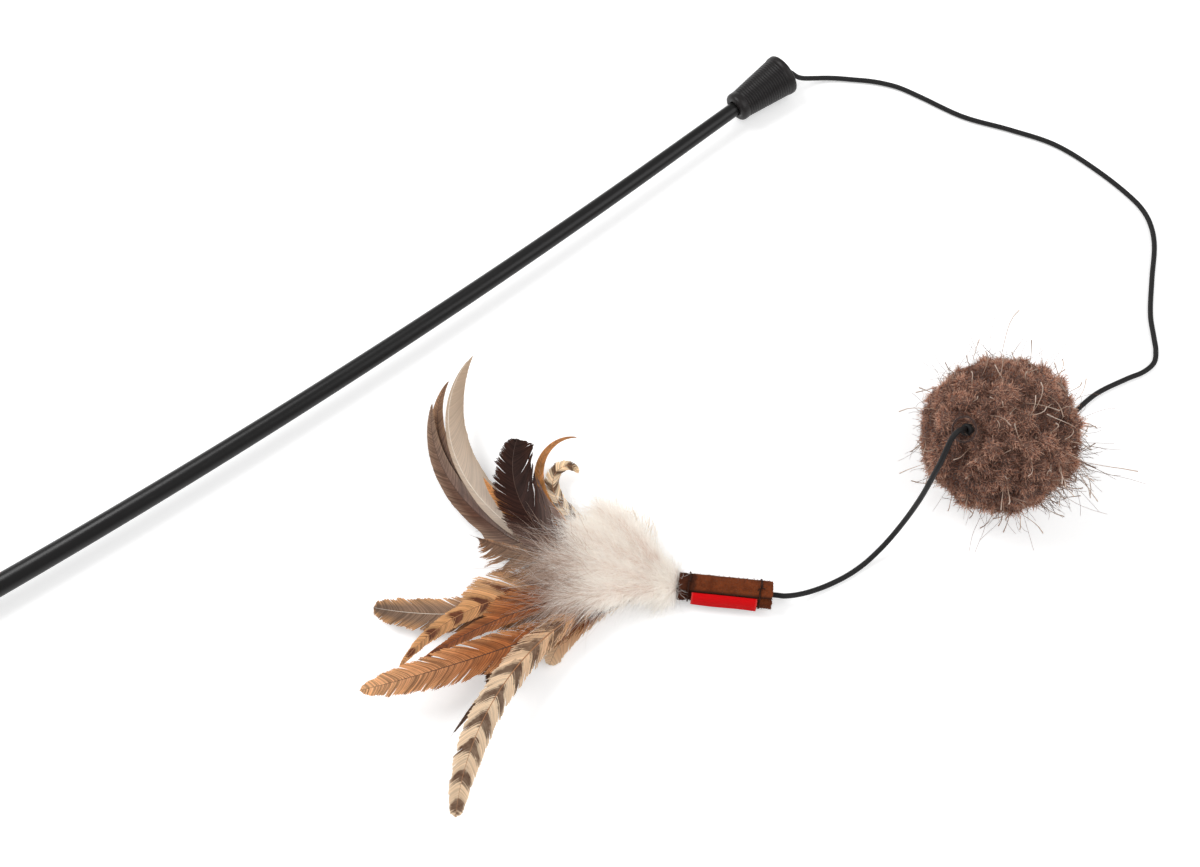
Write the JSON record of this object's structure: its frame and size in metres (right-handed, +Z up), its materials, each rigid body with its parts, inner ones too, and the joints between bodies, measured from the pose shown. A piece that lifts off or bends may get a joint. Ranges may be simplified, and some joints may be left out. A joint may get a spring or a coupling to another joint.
{
  "type": "feather cat wand",
  "caption": "Hand-held pet toy: a tapered rod with a ribbed tip cap, a cord through a plush ball, and a bunch of feathers bound in a rolled felt sleeve.",
  "frame": {"origin": "centre of the grip's flat butt face, on the rod's axis", "axes": "+X along the rod from the butt to the tip, +Z up from the surface that the toy lies on"},
  "size_m": [0.5917, 0.2172, 0.0626],
  "materials": {
    "black_plastic": "semi-gloss black plastic",
    "black_rubber": "matt black rubber",
    "cord_black": "woven black cord",
    "taupe_plush": "long-pile taupe plush",
    "white_stuffing": "white polyester wadding",
    "dark_thread": "dark brown sewing thread",
    "brown_felt": "brown wool felt",
    "red_label": "bare red woven tape",
    "white_down": "white down",
    "feather_black": "natural feather, black",
    "feather_barred": "natural feather, barred",
    "feather_tan": "natural feather, tan",
    "feather_pointed": "natural feather, tan",
    "feather_chestnut": "natural feather, chestnut",
    "feather_grey": "natural feather, grey",
    "feather_orange": "natural feather, orange",
    "feather_beige": "natural feather, beige",
    "feather_cream": "natural feather, cream",
    "feather_umber": "natural feather, umber",
    "feather_brown": "natural feather, brown",
    "feather_thin": "natural feather, brown",
    "feather_pale": "natural feather, pale"
  },
  "bodies": {
    "wand": {"rod": "black_plastic", "grip": "black_rubber", "tip_cap": "black_rubber", "anchor_knot": "cord_black", "cord_in_cap": "cord_black"},
    "line": {"cord_upper": "cord_black", "knot_upper": "cord_black", "cord_core": "cord_black", "knot_lower": "cord_black", "cord_lower": "cord_black"},
    "ball": {"ball_stuffing": "white_stuffing", "ball_fur": "taupe_plush", "gather_upper": "dark_thread", "gather_lower": "dark_thread"},
    "lure": {"felt_sleeve": "brown_felt", "label": "red_label", "sleeve_stitch": "dark_thread", "mouth_stitch": "dark_thread", "quill_binding": "dark_thread", "cord_tail": "cord_black", "tail_knot": "cord_black", "feather_curled_black": "feather_black", "feather_long_barred": "feather_barred", "feather_strip_tan": "feather_tan", "feather_wisp_pointed": "feather_pointed", "feather_long_chestnut": "feather_chestnut", "feather_centre_grey": "feather_grey", "feather_lobe_chestnut": "feather_chestnut", "feather_wisp_orange": "feather_orange", "feather_sickle_beige": "feather_beige", "feather_spotted_tan": "feather_tan", "feather_arch_cream": "feather_cream", "feather_curl_barred": "feather_barred", "feather_sickle_umber": "feather_umber", "feather_small_orange": "feather_orange", "feather_sickle_brown": "feather_brown", "feather_round_grey": "feather_grey", "feather_dark_pointed": "feather_pointed", "feather_sickle_thin": "feather_thin", "feather_small_pale": "feather_pale", "down_plume_back": "white_down", "down_plume_upper": "white_down", "down_plume_lower": "white_down", "down_plume_front": "white_down"}
  },
  "joints": [
    {"name": "line_swing", "type": "hinge", "parent": "wand", "child": "line", "pos_m": [0.50259, 0.02693, 0], "axis": [0, 0, 1], "range_deg": [-3, 110]},
    {"name": "ball_spin", "type": "hinge", "parent": "line", "child": "ball", "pos_m": [0.4711, -0.1514, 0.02337], "axis": [-0.6263, 0.1446, 0.766], "continuous": true},
    {"name": "lure_swing", "type": "hinge", "parent": "line", "child": "lure", "pos_m": [0.37518, -0.15415, -0.00313], "axis": [0, 0, 1], "range_deg": [-5, 60]}
  ]
}
